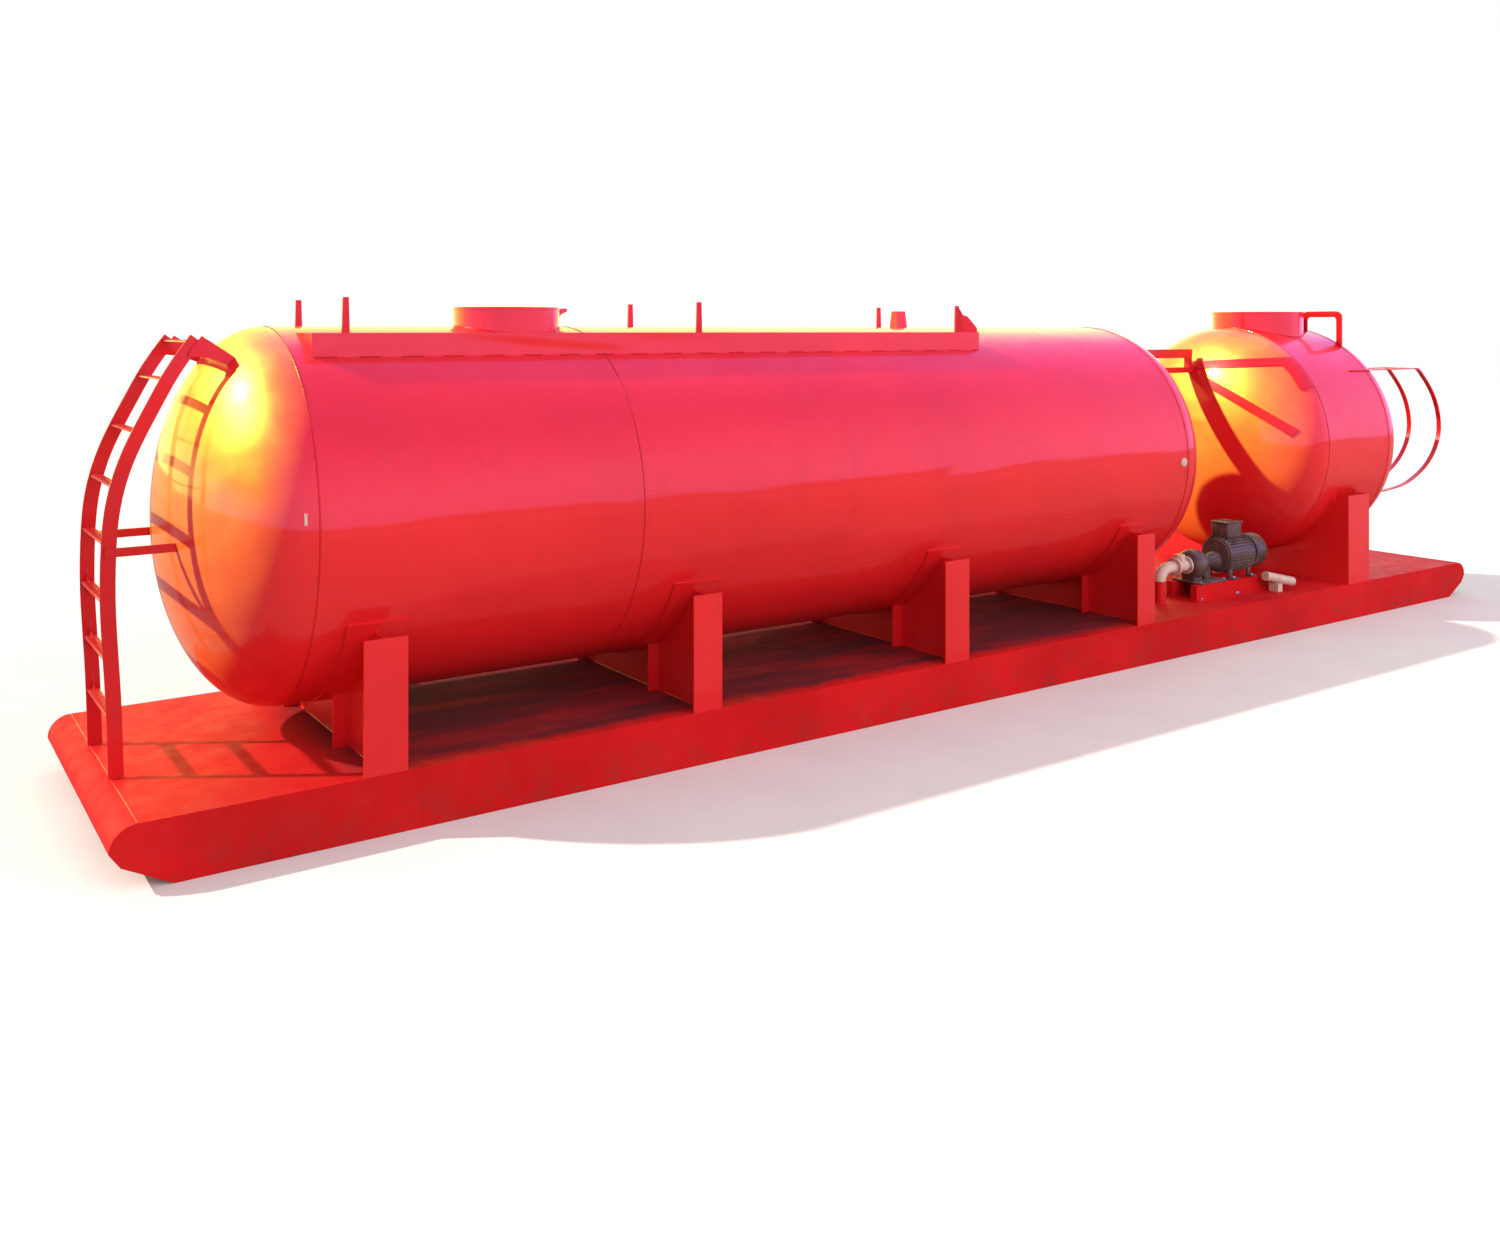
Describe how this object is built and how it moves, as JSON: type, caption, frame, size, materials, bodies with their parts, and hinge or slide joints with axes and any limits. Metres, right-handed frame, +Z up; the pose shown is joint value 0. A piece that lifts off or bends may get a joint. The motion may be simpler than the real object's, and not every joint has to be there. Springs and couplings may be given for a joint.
{
  "type": "skid-mounted diesel fuel tank",
  "caption": "Long horizontal diesel tank and a short tank behind it on a sled-nosed skid, with saddles, ladder, manholes, coaming, pump set and hose racks.",
  "frame": {"origin": "centre of the skid's footprint on the ground", "axes": "+X along the skid from the ladder end to the hose-rack end, +Y away from the pump side, +Z up"},
  "size_m": [12, 2.1, 2.745],
  "materials": {
    "fittings_paint": "gloss enamel, worn at the edges",
    "machine_paint": "semi-matt dark grey machine enamel",
    "pipe_paint": "satin cream primer",
    "skid_paint": "gloss enamel, scuffed and dusty on the deck",
    "tank_paint": "gloss enamel, slightly wavy, lightly dusted on top"
  },
  "bodies": {
    "root": {"coaming_ends": "tank_paint", "coaming_far": "tank_paint", "coaming_near": "tank_paint", "deck_plate_left": "skid_paint", "deck_plate_middle": "skid_paint", "deck_plate_right": "skid_paint", "discharge_pipe": "pipe_paint", "head_bridge": "fittings_paint", "head_straps": "fittings_paint", "hose_rack_inner": "fittings_paint", "hose_rack_near": "fittings_paint", "inlet_valve": "pipe_paint", "ladder_stringer_far": "fittings_paint", "ladder_stringer_near": "fittings_paint", "ladder_ties": "fittings_paint", "ladder_treads": "fittings_paint", "main_head_left": "tank_paint", "main_head_right": "tank_paint", "main_shell": "tank_paint", "manhole_cover": "tank_paint", "manhole_neck": "tank_paint", "motor_fan_cover": "machine_paint", "pump_base": "skid_paint", "pump_casing": "machine_paint", "pump_motor": "machine_paint", "rail_posts": "fittings_paint", "saddle_1": "tank_paint", "saddle_2": "tank_paint", "saddle_3": "tank_paint", "saddle_4": "tank_paint", "saddle_5": "tank_paint", "saddle_pads": "tank_paint", "second_head_left": "tank_paint", "second_head_right": "tank_paint", "second_manhole_cover": "tank_paint", "second_manhole_neck": "tank_paint", "second_shell": "tank_paint", "skid_beam_far": "skid_paint", "skid_beam_near": "skid_paint", "skid_cross_members": "skid_paint", "skid_nose_left": "skid_paint", "skid_nose_right": "skid_paint", "suction_pipe": "pipe_paint", "top_guard": "fittings_paint", "vent_box": "tank_paint"}
  },
  "joints": []
}
